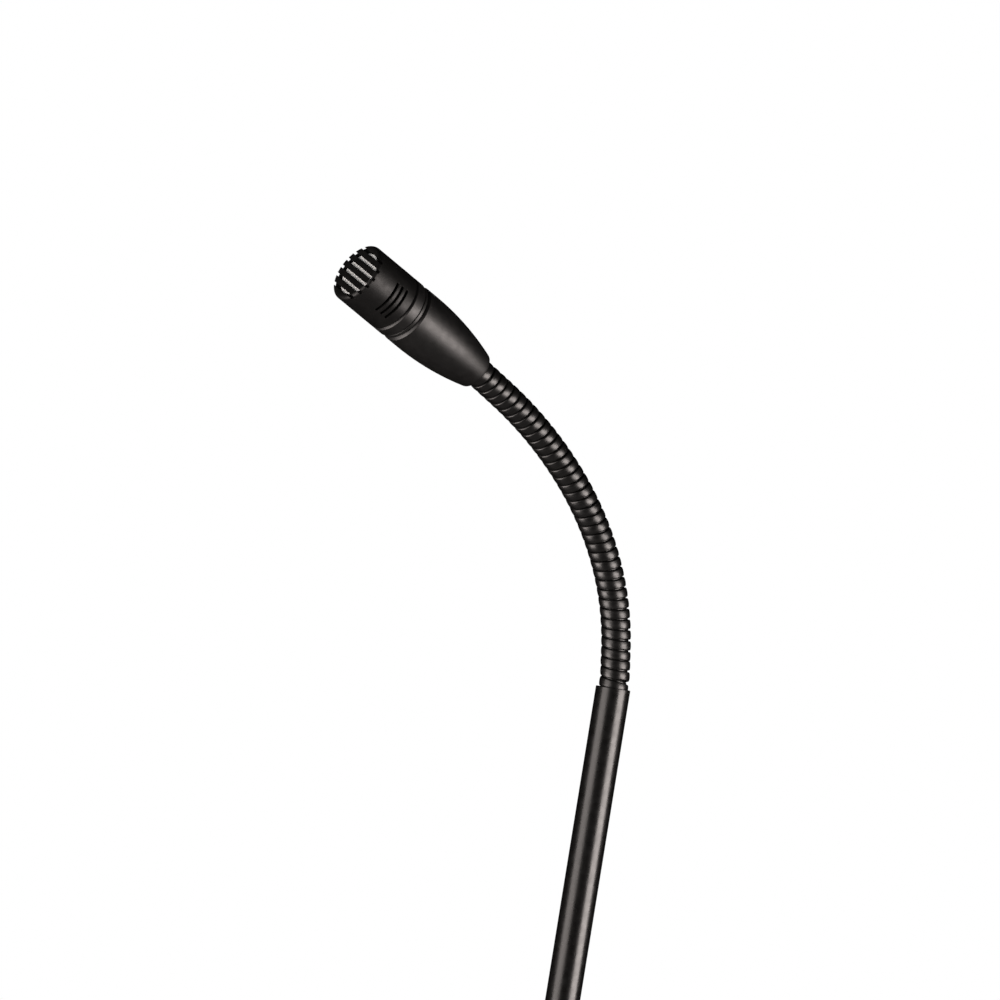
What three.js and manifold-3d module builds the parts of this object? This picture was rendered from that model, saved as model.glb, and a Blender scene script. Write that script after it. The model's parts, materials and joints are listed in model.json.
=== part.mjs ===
// Gooseneck podium microphone, in millimetres.
//
// The straight stem stands along +Z. The origin is the centre of the plug's seating shoulder: the
// XLR plug points down from it and the base housing, stem, neck and head go up. The neck bends
// forward, towards -Y. Every piece that the microphone comes apart into is one closed solid.

import * as THREE from 'three';
import { mergeVertices } from 'three/addons/utils/BufferGeometryUtils.js';
import Module from 'manifold-3d';

const wasm = await Module();
wasm.setup();

// ---------------------------------------------------------------- driving dimensions

const GAP = 0.3; // free space kept between neighbouring pieces

// Neck: a wound steel hose, divided into links of 3 turns, with half a link fixed at each end.
const NECK_RADIUS = 4.47;
const GROOVE_DEPTH = 0.45;
const TURN_PITCH = 3;
const TURNS_PER_LINK = 3;
const LINK_COUNT = 12;
const NECK_BORE = 1.7;
const NOSE_RADIUS = 2.9;
const SOCKET_RADIUS = NOSE_RADIUS + GAP;
const CABLE_RADIUS = 0.95;
const CABLE_STEPS = 66;
const BEND_LIMIT_DEG = 20; // most that two links can turn on each other
const REST_NOD_DEG = [10.4, 13.9, 11.7, 10.1, 8.1, 7.6, 3]; // stored forward bend of the nodding pivots

// Stem and base.
const STEM_RADIUS = 5.2;
const STEM_BOTTOM = 27;
const STEM_TOP = 215;
const STEM_BORE = 3.8;
const STEM_SOCKET_RADIUS = 4.55;
const STUB_DEPTH = 11.5;
const BASE_RADIUS = 11;
const BASE_HEIGHT = 46;

// XLR plug.
const SHELL_RADIUS = 9.5;
const SHELL_BORE = 8.15;
const SHELL_DEPTH = 15.5;
const PIN_RADIUS = 1.2;
const PIN_PLACES = [[3.6, 2], [-3.6, 2], [0, -4.1]];

// Head, measured from its rear end.
const HEAD_RADIUS = 9.36;
const HOUSING_REAR_RADIUS = 5.82;
const TAPER_LENGTH = 26;
const TAPER_STEPS = 7;
const HOUSING_LENGTH = 31.2;
const BAND_START = 32.85;
const BAND_END = 36.5;
const CAP_START = 36.8;
const HEAD_LENGTH = 53;
const CAP_TURN_DEG = -17.4; // how far the cap is screwed round on the head
const SLOT_PITCH = 2.66;
const SLOT_WIDTH = 0.85;
const SLOT_DEPTH = 1.3;
const SLOT_COUNT = 6;
const GRILLE_THICKNESS = 0.9;
const GRILLE_BORE = 7.3;
const VENT_CENTRES = [40.1, 42.1, 44.1];
const VENT_HALF_ANGLE_DEG = 34.5;

// Worked out from the above.
const LINK_LENGTH = TURN_PITCH * TURNS_PER_LINK;
const STUB_LENGTH = LINK_LENGTH / 2;
const END_RELIEF = NECK_RADIUS * Math.tan(THREE.MathUtils.degToRad(BEND_LIMIT_DEG / 2)) + 0.1;

// ---------------------------------------------------------------- materials

function finish(color, roughness, metalness) {
  return new THREE.MeshStandardMaterial({ color, roughness, metalness });
}

const BLACK_METAL = finish(0x1b1a1a, 0.42, 0.4);
const BLACK_WIRE = finish(0x191818, 0.38, 0.5);
const SILVER_MESH = finish(0xb8b2ae, 0.35, 1);
const BRASS = finish(0xb08d4a, 0.35, 1);
const NICKEL = finish(0xc2c0bb, 0.25, 1);
const STEEL = finish(0x8d8f92, 0.35, 1);
const BLACK_PLASTIC = finish(0x151515, 0.55, 0);
const BLACK_RUBBER = finish(0x101010, 0.8, 0);
const GREY_FOAM = finish(0x3a3a3a, 0.95, 0);
const BOARD_GREEN = finish(0x1f5a37, 0.5, 0);
const RED_SLEEVE = finish(0xa02822, 0.5, 0);
const WHITE_SLEEVE = finish(0xd9d6cf, 0.5, 0);

// ---------------------------------------------------------------- shape helpers

function revolve(outline, sides) {
  const points = outline.map(([radius, z]) => new THREE.Vector2(radius, z));
  const geometry = new THREE.LatheGeometry(points, sides);
  return geometry.rotateX(Math.PI / 2);
}

function closed(outline) {
  return [...outline, outline[0]];
}

function ring(innerRadius, outerRadius, bottom, top, sides = 24) {
  return revolve(closed([
    [innerRadius, bottom],
    [outerRadius, bottom],
    [outerRadius, top],
    [innerRadius, top],
  ]), sides);
}

function disc(radius, bottom, top, sides = 24) {
  return revolve([[0, bottom], [radius, bottom], [radius, top], [0, top]], sides);
}

function block(width, depth, height) {
  return new THREE.BoxGeometry(width, depth, height);
}

// A cylinder between two radii along +Y, for what passes through a wall from the back.
function radialRod(radius, from, to, z, sides = 12) {
  const rod = new THREE.CylinderGeometry(radius, radius, to - from, sides);
  return rod.translate(0, (from + to) / 2, z);
}

// Points on an arc in the radius-z plane, angles counted from the +radius direction.
function arcPoints(centreRadius, centreZ, radius, fromDeg, toDeg, steps) {
  const points = [];
  for (let i = 0; i <= steps; i += 1) {
    const angle = THREE.MathUtils.degToRad(fromDeg + ((toDeg - fromDeg) * i) / steps);
    points.push([centreRadius + radius * Math.cos(angle), centreZ + radius * Math.sin(angle)]);
  }
  return points;
}

function wire(points, radius, steps, sides = 8) {
  const section = new THREE.Shape();
  for (let i = 0; i < sides; i += 1) {
    const angle = (2 * Math.PI * i) / sides;
    const place = [radius * Math.cos(angle), radius * Math.sin(angle)];
    if (i === 0) section.moveTo(...place);
    else section.lineTo(...place);
  }
  section.closePath();
  const extrudePath = new THREE.CatmullRomCurve3(points);
  return new THREE.ExtrudeGeometry(section, { steps, extrudePath, bevelEnabled: false });
}

// A flat block bent round the axis: the part of a ring within an angle either side of +X.
function ringSector(innerRadius, outerRadius, halfAngleDeg, centreZ, height) {
  const half = THREE.MathUtils.degToRad(halfAngleDeg);
  const outline = new THREE.Shape();
  outline.absarc(0, 0, outerRadius, -half, half, false);
  outline.absarc(0, 0, innerRadius, half, -half, true);
  outline.closePath();
  const sector = new THREE.ExtrudeGeometry(outline, {
    depth: height,
    bevelEnabled: false,
    curveSegments: 10,
  });
  return sector.translate(0, 0, centreZ - height / 2);
}

function toSolid(geometry) {
  const bare = geometry.clone();
  bare.deleteAttribute('normal');
  bare.deleteAttribute('uv');
  const merged = mergeVertices(bare, 1e-4);
  return new wasm.Manifold(new wasm.Mesh({
    numProp: 3,
    vertProperties: new Float32Array(merged.attributes.position.array),
    triVerts: new Uint32Array(merged.index.array),
  }));
}

function cut(geometry, cutters) {
  let solid = toSolid(geometry);
  for (const cutter of cutters) solid = solid.subtract(toSolid(cutter));
  const { vertProperties, triVerts } = solid.getMesh();
  const result = new THREE.BufferGeometry();
  result.setAttribute('position', new THREE.BufferAttribute(vertProperties, 3));
  result.setIndex(new THREE.BufferAttribute(triVerts, 1));
  result.computeVertexNormals();
  return result;
}

function addPiece(group, name, geometry, material) {
  const piece = new THREE.Mesh(geometry, material);
  piece.name = name;
  group.add(piece);
  return piece;
}

// ---------------------------------------------------------------- XLR plug

function addPlug(root) {
  const shellTop = 10;
  const insertFace = -1.5;
  const insertTop = 3;
  const tipDepth = 13.5;
  const tipRound = 0.8;
  const solderTop = 4;
  const keeperBore = 5.8;
  const keeperTop = 4.5;
  const holeRadius = PIN_RADIUS + GAP;
  const keyway = { width: 2.4, thickness: 1.4, depth: SHELL_DEPTH + insertFace - GAP };
  const latch = { width: 5, thickness: 4, height: 2.6, depth: 8 };

  const keyCutter = block(keyway.width, keyway.thickness, keyway.depth)
    .translate(0, SHELL_BORE, keyway.depth / 2 - SHELL_DEPTH);
  const latchCutter = block(latch.width, latch.thickness, latch.height)
    .translate(0, -SHELL_RADIUS, -latch.depth);
  const shell = ring(SHELL_BORE, SHELL_RADIUS, -SHELL_DEPTH, shellTop, 32);
  addPiece(root, 'xlr_shell', cut(shell, [keyCutter, latchCutter]), NICKEL);

  const holes = PIN_PLACES.map(([x, y]) => disc(holeRadius, -shellTop, shellTop, 12).translate(x, y, 0));
  const insert = disc(SHELL_BORE - GAP, insertFace, insertTop, 32);
  addPiece(root, 'xlr_insert', cut(insert, holes), BLACK_PLASTIC);

  PIN_PLACES.forEach(([x, y], i) => {
    const outline = [
      [0, -tipDepth],
      ...arcPoints(PIN_RADIUS - tipRound, tipRound - tipDepth, tipRound, -90, 0, 3),
      [PIN_RADIUS, solderTop],
      [0, solderTop],
    ];
    addPiece(root, `xlr_pin_${i + 1}`, revolve(outline, 12).translate(x, y, 0), NICKEL);
  });

  const keeper = ring(keeperBore, SHELL_BORE - GAP, insertTop + GAP, keeperTop);
  addPiece(root, 'insert_retaining_ring', keeper, STEEL);
}

// ---------------------------------------------------------------- base housing and board

function addBase(root) {
  const plugBore = SHELL_RADIUS + GAP;
  const sleeveBore = 7.5;
  const stemHole = STEM_RADIUS + GAP;
  const shoulderTop = 41;
  const sleeveFloor = 28;
  const sleeveFloorRise = 2;
  const noseRadius = 7.4;
  const noseStart = 36;
  const footEdge = 0.4;
  const topEdge = 0.6;

  const nose = arcPoints(noseRadius, noseStart, BASE_RADIUS - noseRadius, 0, 60, 5);
  const outline = closed([
    [plugBore, 0],
    [BASE_RADIUS - footEdge, 0],
    [BASE_RADIUS, footEdge],
    ...nose,
    [noseRadius, BASE_HEIGHT - topEdge],
    [noseRadius - topEdge, BASE_HEIGHT],
    [stemHole, BASE_HEIGHT],
    [stemHole, shoulderTop],
    [sleeveBore, shoulderTop],
    [sleeveBore, sleeveFloor],
    [plugBore, sleeveFloor - sleeveFloorRise],
  ]);
  const grub = { radius: 1.4, head: 10.5, height: 35, socketRadius: 0.75, socketFloor: 9.3 };
  const screwHole = radialRod(grub.radius + GAP, sleeveBore - 1.5, BASE_RADIUS + 1, grub.height);
  addPiece(root, 'base_housing', cut(revolve(outline, 24), [screwHole]), BLACK_METAL);

  const screw = radialRod(grub.radius, sleeveBore + 0.1, grub.head, grub.height);
  const hexSocket = radialRod(grub.socketRadius, grub.socketFloor, BASE_RADIUS, grub.height, 6);
  addPiece(root, 'stem_grub_screw', cut(screw, [hexSocket]), STEEL);

  const sleeve = ring(stemHole, sleeveBore - GAP, sleeveFloor + 0.5, shoulderTop - GAP);
  addPiece(root, 'stem_sleeve', sleeve, BRASS);
  const grommetRadius = 7;
  const grommetTop = BASE_HEIGHT + 2.8;
  const grommet = ring(stemHole, grommetRadius, BASE_HEIGHT + GAP, grommetTop, 28);
  addPiece(root, 'stem_grommet', grommet, BLACK_RUBBER);
}

// The output board, its capacitors, the leads to the plug's pins and the cable's crimp.
function addBaseBoard(root) {
  const boardBack = 3.2;
  const boardFront = 2;
  const boardWidth = 15;
  const boardHeight = 14;
  const boardCentre = 18.5;
  const can = { radius: 2.1, spread: 3.6, top: 7, height: 20 };

  const board = block(boardWidth, boardBack - boardFront, boardHeight)
    .translate(0, (boardBack + boardFront) / 2, boardCentre);
  addPiece(root, 'base_board', board, BOARD_GREEN);
  for (const [i, x] of [-can.spread, can.spread].entries()) {
    const body = radialRod(can.radius, boardBack + GAP, can.top, can.height, 16).translate(x, 0, 0);
    addPiece(root, `base_capacitor_${i + 1}`, body, STEEL);
  }

  const leadColours = [WHITE_SLEEVE, RED_SLEEVE, BLACK_PLASTIC];
  const leadRadius = 0.45;
  PIN_PLACES.forEach(([x, y], i) => {
    const endX = x * 1.2;
    const endY = 1.1;
    const route = [
      new THREE.Vector3(x, y, 4 + GAP),
      new THREE.Vector3(x, y, 5.6),
      new THREE.Vector3((x + endX) / 2, (y + endY) / 2, 8.4),
      new THREE.Vector3(endX, endY, 11),
      new THREE.Vector3(endX, endY, 12.5),
    ];
    addPiece(root, `pin_lead_${i + 1}`, wire(route, leadRadius, 10, 6), leadColours[i]);
  });

  const crimpThickness = 0.45;
  const crimp = ring(CABLE_RADIUS + GAP, CABLE_RADIUS + GAP + crimpThickness, 23, 25, 12);
  addPiece(root, 'cable_crimp', crimp, STEEL);
}

// ---------------------------------------------------------------- stem

function addStem(root) {
  const socketFloor = STEM_TOP - STUB_DEPTH - 0.5;
  const rimEdge = 0.15;
  const tube = revolve(closed([
    [STEM_BORE, STEM_BOTTOM],
    [STEM_RADIUS, STEM_BOTTOM],
    [STEM_RADIUS, STEM_TOP - rimEdge],
    [STEM_RADIUS - rimEdge, STEM_TOP],
    [STEM_SOCKET_RADIUS, STEM_TOP],
    [STEM_SOCKET_RADIUS, socketFloor],
    [STEM_BORE, socketFloor],
  ]), 28);
  addPiece(root, 'stem_tube', tube, BLACK_METAL);

  const anchorBore = 1.4;
  const anchorTop = socketFloor - 0.5;
  const anchorLength = 9.5;
  const anchor = ring(anchorBore, STEM_BORE - GAP, anchorTop - anchorLength, anchorTop, 20);
  addPiece(root, 'neck_anchor', anchor, BRASS);
}

// ---------------------------------------------------------------- neck

// The wound outside: one rounded ridge to each turn, with a groove between turns.
function ridges(from, turns) {
  const floor = NECK_RADIUS - GROOVE_DEPTH;
  const points = [];
  for (let i = 0; i < turns; i += 1) {
    const start = from + i * TURN_PITCH;
    points.push([floor, start], [NECK_RADIUS, start + 0.25 * TURN_PITCH]);
    points.push([NECK_RADIUS, start + 0.75 * TURN_PITCH]);
  }
  points.push([floor, from + turns * TURN_PITCH]);
  return points;
}

// Ridges trimmed to the space between two heights, so that the ends clear each other in a bend.
function trimmedRidges(from, turns, bottom, top) {
  const floor = NECK_RADIUS - GROOVE_DEPTH;
  const inside = ridges(from, turns).filter(([, z]) => z > bottom + 0.2 && z < top - 0.2);
  return [[floor, bottom], ...inside, [floor, top]];
}

function noseArc(centreZ) {
  const startDeg = THREE.MathUtils.radToDeg(Math.asin(-END_RELIEF / NOSE_RADIUS));
  const endDeg = THREE.MathUtils.radToDeg(Math.acos(NECK_BORE / NOSE_RADIUS));
  return arcPoints(0, centreZ, NOSE_RADIUS, startDeg, endDeg, 4);
}

function socketArc(centreZ) {
  const startDeg = THREE.MathUtils.radToDeg(Math.acos(NECK_BORE / SOCKET_RADIUS));
  const endDeg = THREE.MathUtils.radToDeg(Math.asin(END_RELIEF / SOCKET_RADIUS));
  return arcPoints(0, centreZ, SOCKET_RADIUS, startDeg, endDeg, 4);
}

function linkSolid() {
  return revolve(closed([
    ...socketArc(0),
    ...trimmedRidges(0, TURNS_PER_LINK, END_RELIEF, LINK_LENGTH - END_RELIEF),
    ...noseArc(LINK_LENGTH),
  ]), 12);
}

function lowerStubSolid() {
  const plainRadius = STEM_SOCKET_RADIUS - GAP;
  return revolve(closed([
    [NECK_BORE, -STUB_DEPTH],
    [plainRadius, -STUB_DEPTH],
    [plainRadius, -GAP],
    ...trimmedRidges(0, TURNS_PER_LINK / 2, GAP, STUB_LENGTH - END_RELIEF),
    ...noseArc(STUB_LENGTH),
  ]), 20);
}

function upperStubSolid(insideLength) {
  return revolve(closed([
    ...socketArc(0),
    ...trimmedRidges(-STUB_LENGTH, TURNS_PER_LINK, END_RELIEF, STUB_LENGTH),
    [NECK_RADIUS, STUB_LENGTH + GAP],
    [NECK_RADIUS, STUB_LENGTH + insideLength],
    [NECK_BORE, STUB_LENGTH + insideLength],
  ]), 20);
}

// Places a chain of groups, one at each pivot, and returns them with the group for the head.
// Even pivots nod, which is where the stored bend is; odd pivots sway and are stored straight.
function addNeck(root) {
  addPiece(root, 'neck_stub_lower', lowerStubSolid().translate(0, 0, STEM_TOP), BLACK_WIRE);
  const pivots = [];
  let parent = root;
  let height = STEM_TOP + STUB_LENGTH;
  for (let i = 0; i <= LINK_COUNT; i += 1) {
    const pivot = new THREE.Group();
    pivot.position.z = height;
    if (i % 2 === 0) pivot.rotation.x = THREE.MathUtils.degToRad(REST_NOD_DEG[i / 2]);
    parent.add(pivot);
    pivots.push(pivot);
    if (i < LINK_COUNT) {
      const number = String(i + 1).padStart(2, '0');
      addPiece(pivot, `neck_link_${number}`, linkSolid(), BLACK_WIRE);
    }
    parent = pivot;
    height = LINK_LENGTH;
  }
  return pivots;
}

// ---------------------------------------------------------------- head

function housingRadius(z) {
  const short = Math.max(0, 1 - z / TAPER_LENGTH);
  return HEAD_RADIUS - (HEAD_RADIUS - HOUSING_REAR_RADIUS) * short * short;
}

function addRearHousing(head) {
  const entryRadius = NECK_RADIUS + GAP;
  const entryDepth = 3;
  const ferruleBore = 5.75;
  const ferruleEnd = 11;
  const skirtBore = 8.3;
  const skirtFloor = 24;
  const edge = 0.6;
  const frontEdge = 0.75;
  const taper = [];
  for (let i = 1; i <= TAPER_STEPS; i += 1) {
    const z = edge + ((TAPER_LENGTH - edge) * i) / TAPER_STEPS;
    taper.push([housingRadius(z), z]);
  }
  const outline = closed([
    [entryRadius, 0],
    ...arcPoints(housingRadius(edge) - edge, edge, edge, -90, 0, 3),
    ...taper,
    [HEAD_RADIUS, HOUSING_LENGTH - frontEdge],
    [HEAD_RADIUS - frontEdge, HOUSING_LENGTH],
    [skirtBore, HOUSING_LENGTH],
    [skirtBore, skirtFloor],
    [ferruleBore, ferruleEnd],
    [ferruleBore, entryDepth],
    [entryRadius, entryDepth],
  ]);
  addPiece(head, 'rear_housing', revolve(outline, 30), BLACK_METAL);

  const ferrule = ring(entryRadius, ferruleBore - GAP, entryDepth + GAP, ferruleEnd - GAP, 20);
  addPiece(head, 'neck_ferrule', ferrule, BRASS);
  const nutBore = 3;
  const nut = ring(nutBore, ferruleBore - GAP, ferruleEnd, ferruleEnd + 1.6, 20);
  addPiece(head, 'ferrule_nut', nut, BRASS);
}

function addHeadBoard(head) {
  const board = { width: 11, thickness: 1, length: 21, centre: 24.5 };
  const can = { radius: 2.2, top: 4.5, centre: 28 };
  const plate = block(board.width, board.thickness, board.length).translate(0, 0, board.centre);
  addPiece(head, 'head_board', plate, BOARD_GREEN);
  const body = radialRod(can.radius, board.thickness / 2 + GAP, can.top, can.centre, 16);
  addPiece(head, 'head_capacitor', body, STEEL);
}

function addLockingRing(head) {
  const housingSkirt = 8;
  const capSkirt = 8.1;
  const bore = 7;
  const recess = 9.1;
  const edge = 0.2;
  const frontEdge = 0.6;
  const bottom = 25;
  const top = 39.3;
  const outline = closed([
    [bore, bottom],
    [housingSkirt, bottom],
    [housingSkirt, HOUSING_LENGTH + GAP],
    [recess, HOUSING_LENGTH + GAP],
    [recess, BAND_START],
    [HEAD_RADIUS - edge, BAND_START],
    [HEAD_RADIUS, BAND_START + edge],
    [HEAD_RADIUS, BAND_END - frontEdge],
    [HEAD_RADIUS - frontEdge, BAND_END],
    [capSkirt, BAND_END],
    [capSkirt, top],
    [bore, top],
  ]);
  addPiece(head, 'locking_ring', revolve(outline, 30), BLACK_METAL);
}

function addGrilleCap(head) {
  const skirtBore = 8.4;
  const skirtTop = 39.6;
  const ventBore = 7.8;
  const ventBoreTop = 45.6;
  const edge = 0.2;
  const frontRound = 1.1;
  const cutterHeight = 5;
  const outline = [
    [0, HEAD_LENGTH - GRILLE_THICKNESS],
    [GRILLE_BORE, HEAD_LENGTH - GRILLE_THICKNESS],
    [GRILLE_BORE, ventBoreTop],
    [ventBore, ventBoreTop],
    [ventBore, skirtTop],
    [skirtBore, skirtTop],
    [skirtBore, CAP_START],
    [HEAD_RADIUS - edge, CAP_START],
    [HEAD_RADIUS, CAP_START + edge],
    ...arcPoints(HEAD_RADIUS - frontRound, HEAD_LENGTH - frontRound, frontRound, 0, 90, 4),
    [0, HEAD_LENGTH],
  ];
  const cutters = [];
  for (let i = 0; i < SLOT_COUNT; i += 1) {
    const offset = (i - (SLOT_COUNT - 1) / 2) * SLOT_PITCH;
    const slot = block(2.4 * HEAD_RADIUS, SLOT_WIDTH, cutterHeight);
    cutters.push(slot.translate(0, offset, HEAD_LENGTH - SLOT_DEPTH + cutterHeight / 2));
  }
  for (const centreZ of VENT_CENTRES) {
    for (const turn of [0, Math.PI]) {
      const vent = ringSector(ventBore - 0.8, HEAD_RADIUS + 1, VENT_HALF_ANGLE_DEG, centreZ, SLOT_WIDTH);
      cutters.push(vent.rotateZ(turn));
    }
  }
  const cap = cut(revolve(outline, 36), cutters);
  cap.rotateZ(THREE.MathUtils.degToRad(CAP_TURN_DEG));
  addPiece(head, 'grille_cap', cap, BLACK_METAL);
}

function addScreens(head) {
  const front = HEAD_LENGTH - GRILLE_THICKNESS - GAP;
  const meshBack = front - 0.35;
  const foamBack = front - 2;
  const gauze = { inner: 7.2, outer: 7.5, bottom: 39.7, top: 44.9 };
  addPiece(head, 'windscreen_mesh', disc(GRILLE_BORE - GAP, meshBack, front, 32), SILVER_MESH);
  addPiece(head, 'foam_disc', disc(GRILLE_BORE - GAP, foamBack, meshBack - GAP), GREY_FOAM);
  const strip = ring(gauze.inner, gauze.outer, gauze.bottom, gauze.top);
  addPiece(head, 'vent_gauze', strip, GREY_FOAM);
}

function addCapsule(head) {
  const canRadius = 6.95;
  const canBore = 6.5;
  const canWall = 0.4;
  const soundHole = 2.5;
  const bottom = 46;
  const top = 49.5;
  const can = revolve(closed([
    [canBore, bottom],
    [canRadius, bottom],
    [canRadius, top],
    [soundHole, top],
    [soundHole, top - canWall],
    [canBore, top - canWall],
  ]), 28);
  addPiece(head, 'capsule_can', can, STEEL);

  const innerRadius = canBore - 0.35;
  addPiece(head, 'capsule_diaphragm', disc(innerRadius, top - 1, top - 0.7), BRASS);
  addPiece(head, 'capsule_backplate', ring(0.8, 6, top - 2.1, top - 1.3), BRASS);
  addPiece(head, 'capsule_board', disc(innerRadius, bottom + 0.2, bottom + 1), BOARD_GREEN);

  const cage = { bore: 5.9, radius: 6.9, bottom: 39.9, top: bottom - GAP, hoop: 0.6, window: 7 };
  const windowHeight = cage.top - cage.bottom - 2 * cage.hoop;
  const windowCentre = (cage.bottom + cage.top) / 2;
  const windows = [
    block(3 * cage.radius, cage.window, windowHeight).translate(0, 0, windowCentre),
    block(cage.window, 3 * cage.radius, windowHeight).translate(0, 0, windowCentre),
  ];
  const tube = ring(cage.bore, cage.radius, cage.bottom, cage.top);
  addPiece(head, 'capsule_cage', cut(tube, windows), BLACK_PLASTIC);

  const spread = 2.2;
  const slack = 1.2;
  const leadRadius = 0.35;
  const leadEnds = [35.4, 45.8];
  const leads = [
    ['capsule_lead_signal', spread, RED_SLEEVE],
    ['capsule_lead_ground', -spread, WHITE_SLEEVE],
  ];
  for (const [name, x, sleeve] of leads) {
    const route = [
      new THREE.Vector3(x, 0, leadEnds[0]),
      new THREE.Vector3(x, slack, (leadEnds[0] + leadEnds[1]) / 2),
      new THREE.Vector3(x, 0, leadEnds[1]),
    ];
    addPiece(head, name, wire(route, leadRadius, 8, 6), sleeve);
  }
}

function addHead(lastPivot) {
  const insideLength = 8.5;
  addPiece(lastPivot, 'neck_stub_upper', upperStubSolid(insideLength), BLACK_WIRE);
  const head = new THREE.Group();
  head.position.z = STUB_LENGTH;
  lastPivot.add(head);
  addRearHousing(head);
  addHeadBoard(head);
  addLockingRing(head);
  addGrilleCap(head);
  addScreens(head);
  addCapsule(head);
  return head;
}

// ---------------------------------------------------------------- cable through the middle

function addCable(root, pivots, head) {
  root.updateMatrixWorld(true);
  const start = 14;
  const endInHead = 13.6;
  const route = [start, STEM_BOTTOM, 70, 120, 170, STEM_TOP - 8].map((z) => new THREE.Vector3(0, 0, z));
  for (const pivot of pivots) {
    route.push(pivot.localToWorld(new THREE.Vector3(0, 0, 0)));
    route.push(pivot.localToWorld(new THREE.Vector3(0, 0, STUB_LENGTH)));
  }
  route.push(head.localToWorld(new THREE.Vector3(0, 0, 8)));
  route.push(head.localToWorld(new THREE.Vector3(0, 0, endInHead)));
  addPiece(root, 'signal_cable', wire(route, CABLE_RADIUS, CABLE_STEPS), BLACK_RUBBER);
}

// ---------------------------------------------------------------- whole microphone

const microphone = new THREE.Group();
addPlug(microphone);
addBase(microphone);
addBaseBoard(microphone);
addStem(microphone);
const pivots = addNeck(microphone);
const head = addHead(pivots[LINK_COUNT]);
addCable(microphone, pivots, head);

export default microphone;
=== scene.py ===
"""Gooseneck podium microphone: fine surfaces, materials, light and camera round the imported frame.

Shapes are worked out in millimetres in a local frame and placed in metres by a matrix. The head's
local frame has its origin at the head's rear end and +Z along the head's axis.
"""

import json
import math

import bmesh
import bpy
import numpy as np
from mathutils import Matrix, Vector, noise

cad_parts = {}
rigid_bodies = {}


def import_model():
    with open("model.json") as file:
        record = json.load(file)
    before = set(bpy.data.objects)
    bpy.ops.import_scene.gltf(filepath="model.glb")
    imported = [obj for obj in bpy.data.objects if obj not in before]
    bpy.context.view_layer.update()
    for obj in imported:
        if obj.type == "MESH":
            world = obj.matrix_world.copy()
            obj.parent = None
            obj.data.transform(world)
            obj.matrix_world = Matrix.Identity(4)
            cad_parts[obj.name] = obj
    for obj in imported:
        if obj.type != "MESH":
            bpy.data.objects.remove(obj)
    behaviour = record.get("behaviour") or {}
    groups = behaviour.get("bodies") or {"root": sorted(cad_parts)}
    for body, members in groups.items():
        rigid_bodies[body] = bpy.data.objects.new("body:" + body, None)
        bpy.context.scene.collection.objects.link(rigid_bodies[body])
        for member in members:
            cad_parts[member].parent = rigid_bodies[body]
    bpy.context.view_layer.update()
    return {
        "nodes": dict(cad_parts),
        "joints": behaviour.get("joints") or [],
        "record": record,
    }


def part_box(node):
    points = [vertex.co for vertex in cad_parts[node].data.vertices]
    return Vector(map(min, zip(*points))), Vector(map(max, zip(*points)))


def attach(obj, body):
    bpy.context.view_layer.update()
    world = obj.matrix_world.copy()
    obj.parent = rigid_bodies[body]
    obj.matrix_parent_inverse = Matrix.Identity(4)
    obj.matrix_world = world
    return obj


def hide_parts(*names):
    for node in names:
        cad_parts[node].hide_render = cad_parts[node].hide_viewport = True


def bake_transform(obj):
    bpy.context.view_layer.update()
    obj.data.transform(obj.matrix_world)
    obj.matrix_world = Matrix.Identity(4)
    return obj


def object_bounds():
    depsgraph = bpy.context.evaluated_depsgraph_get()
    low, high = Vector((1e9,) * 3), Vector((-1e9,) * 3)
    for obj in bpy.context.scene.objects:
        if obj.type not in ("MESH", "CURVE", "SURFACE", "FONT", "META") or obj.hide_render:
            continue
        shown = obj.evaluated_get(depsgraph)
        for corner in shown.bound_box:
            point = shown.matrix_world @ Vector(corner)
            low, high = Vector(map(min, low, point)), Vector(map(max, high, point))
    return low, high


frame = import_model()

# ------------------------------------------------------------------ places taken from the frame

MM = 0.001
AXIS_X = Vector((1, 0, 0))
AXIS_Z = Vector((0, 0, 1))


def centre_of(node):
    low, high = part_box(node)
    return (low + high) / 2


def chain_bodies():
    """The bodies from the stem to the head, in order along the neck."""
    return [frame["joints"][0]["parent"]] + [joint["child"] for joint in frame["joints"]]


PIVOTS = [Vector(joint["pos_m"]) for joint in frame["joints"]]
BODIES = chain_bodies()
STEM_BODY = BODIES[0]
HEAD_BODY = BODIES[-1]
LINK = (PIVOTS[2] - PIVOTS[1]).length / MM
STEM_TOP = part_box("stem_tube")[1].z / MM
NECK_START = Vector((0, 0, STEM_TOP * MM))
HEAD_AXIS = (centre_of("windscreen_mesh") - PIVOTS[-1]).normalized()
HEAD_REAR = PIVOTS[-1] + HEAD_AXIS * LINK / 2 * MM
NECK_LENGTH = LINK * len(PIVOTS)


def placement(origin, axis):
    """Local millimetres to world metres, +Z along axis and +X kept."""
    side = axis.cross(AXIS_X)
    turn = Matrix((AXIS_X, side, axis)).transposed().to_4x4()
    return Matrix.Translation(origin) @ turn @ Matrix.Scale(MM, 4)


AT_ORIGIN = placement(Vector((0, 0, 0)), AXIS_Z)
AT_HEAD = placement(HEAD_REAR, HEAD_AXIS)


def span(node, place):
    """(lowest z, highest z, largest radius) of a CAD node in a local frame, in millimetres."""
    inverse = place.inverted()
    points = [inverse @ vertex.co for vertex in frame["nodes"][node].data.vertices]
    heights = [point.z for point in points]
    return min(heights), max(heights), max(point.xy.length for point in points)


# ------------------------------------------------------------------ mesh helpers

SHARP_ANGLE = math.radians(35)


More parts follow.
